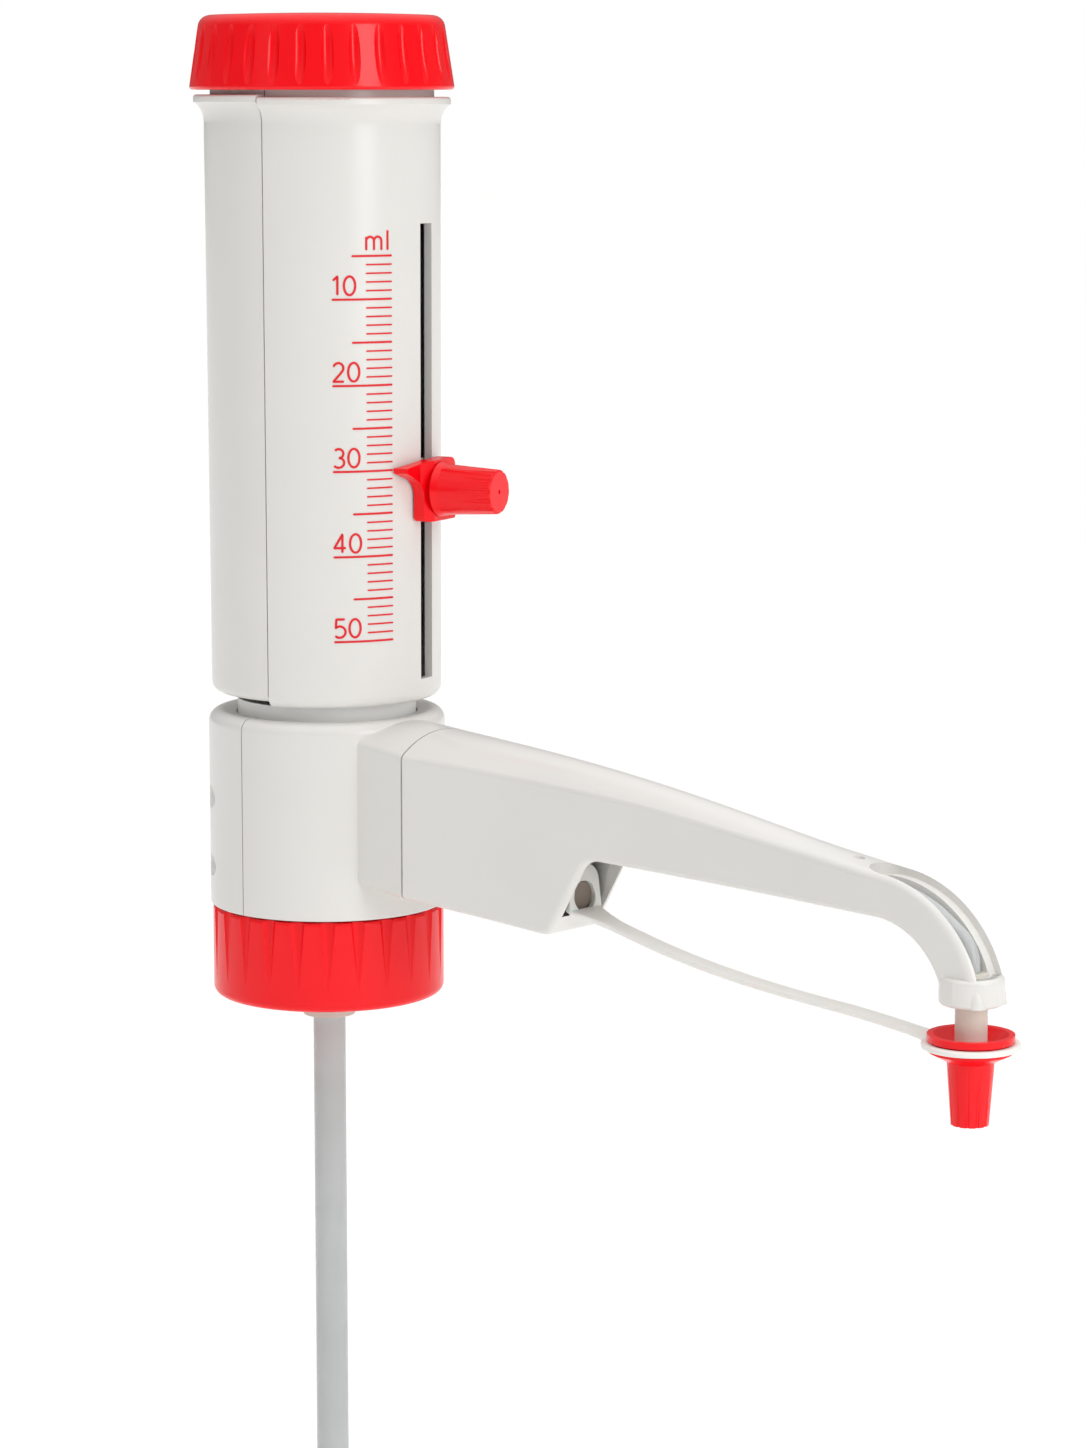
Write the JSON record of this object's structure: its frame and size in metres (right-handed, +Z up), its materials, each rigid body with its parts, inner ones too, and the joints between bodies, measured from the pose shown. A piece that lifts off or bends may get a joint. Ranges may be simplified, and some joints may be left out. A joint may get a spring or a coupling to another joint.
{
  "type": "bottle-top dispenser",
  "caption": "Piston dispenser that screws on a reagent bottle's neck: sliding graduated casing, volume slider with clamping knob, discharge arm with nozzle and tethered closure cap.",
  "frame": {"origin": "on the dispenser's upright axis, at the lower end of the nut that screws on the neck", "axes": "+Z up along the piston, +X along the discharge arm, +Y to the arm's left"},
  "size_m": [0.2404, 0.0638, 0.4053],
  "materials": {
    "red_plastic": "satin gloss red moulding",
    "light_plastic": "satin warm light grey moulding",
    "core_plastic": "matte natural moulding",
    "dark_plastic": "matte near black moulding",
    "glass": "clear ground glass",
    "ceramic": "polished white",
    "clear_tube": "translucent grey fluoropolymer",
    "valve_plastic": "matte taupe moulding",
    "seal": "soft black rubber",
    "screw_steel": "zinc plated steel",
    "strap_plastic": "soft flexible white plastic"
  },
  "bodies": {
    "valve_block": {"valve_core": "core_plastic", "block_front_shell": "light_plastic", "block_rear_shell": "light_plastic", "block_screws": "screw_steel", "measuring_cylinder": "glass", "cylinder_seal": "seal", "cylinder_clamp_ring": "core_plastic", "suction_valve_body": "core_plastic", "suction_valve_cage": "core_plastic", "upper_suction_tube": "clear_tube", "outlet_valve_body": "valve_plastic", "outlet_valve_spout": "core_plastic", "discharge_tube": "clear_tube", "nozzle_tip": "clear_tube", "arm_housing": "light_plastic", "closure_strap": "strap_plastic", "neck_seal": "seal"},
    "nut": {"neck_nut": "red_plastic"},
    "sleeve": {"guide_sleeve": "dark_plastic"},
    "casing": {"scale_shell": "light_plastic", "rear_shell": "light_plastic", "piston": "ceramic", "piston_holder": "core_plastic", "piston_nut": "core_plastic"},
    "cap": {"top_cap": "red_plastic"},
    "slider": {"pointer_slider": "red_plastic", "slider_foot": "core_plastic"},
    "knob": {"clamp_knob": "red_plastic", "clamp_screw": "screw_steel"},
    "closure": {"closure_cap": "red_plastic"},
    "lower_tube": {"lower_suction_tube": "clear_tube"},
    "suction_valve_ball": {"suction_ball": "ceramic"},
    "outlet_valve_ball": {"outlet_ball": "ceramic"}
  },
  "joints": [
    {"name": "nut_turn", "type": "hinge", "parent": "valve_block", "child": "nut", "pos_m": [0, 0, 0.011], "axis": [0, 0, 1], "continuous": true},
    {"name": "casing_turn", "type": "hinge", "parent": "valve_block", "child": "sleeve", "pos_m": [0, 0, 0.066], "axis": [0, 0, 1], "continuous": true},
    {"name": "casing_lift", "type": "slide", "parent": "sleeve", "child": "casing", "axis": [0, 0, 1], "range_m": [0, 0.1019]},
    {"name": "cap_turn", "type": "hinge", "parent": "casing", "child": "cap", "pos_m": [0, 0, 0.23], "axis": [0, 0, 1], "continuous": true},
    {"name": "volume_slide", "type": "slide", "parent": "casing", "child": "slider", "axis": [0, 0, 1], "range_m": [-0.04055, 0.0511]},
    {"name": "knob_turn", "type": "hinge", "parent": "slider", "child": "knob", "pos_m": [0.03112, 0.00863, 0.1261], "axis": [0.9636, 0.2672, 0], "range_deg": [0, 360]},
    {"name": "closure_pull", "type": "slide", "parent": "valve_block", "child": "closure", "axis": [0, 0, -1], "range_m": [0, 0.014], "deforming": ["closure_strap"]},
    {"name": "tube_extend", "type": "slide", "parent": "valve_block", "child": "lower_tube", "axis": [0, 0, -1], "range_m": [0, 0.13]},
    {"name": "suction_ball_lift", "type": "slide", "parent": "valve_block", "child": "suction_valve_ball", "axis": [0, 0, 1], "range_m": [0, 0.0015]},
    {"name": "outlet_ball_lift", "type": "slide", "parent": "valve_block", "child": "outlet_valve_ball", "axis": [0, 0, 1], "range_m": [0, 0.0012]}
  ]
}
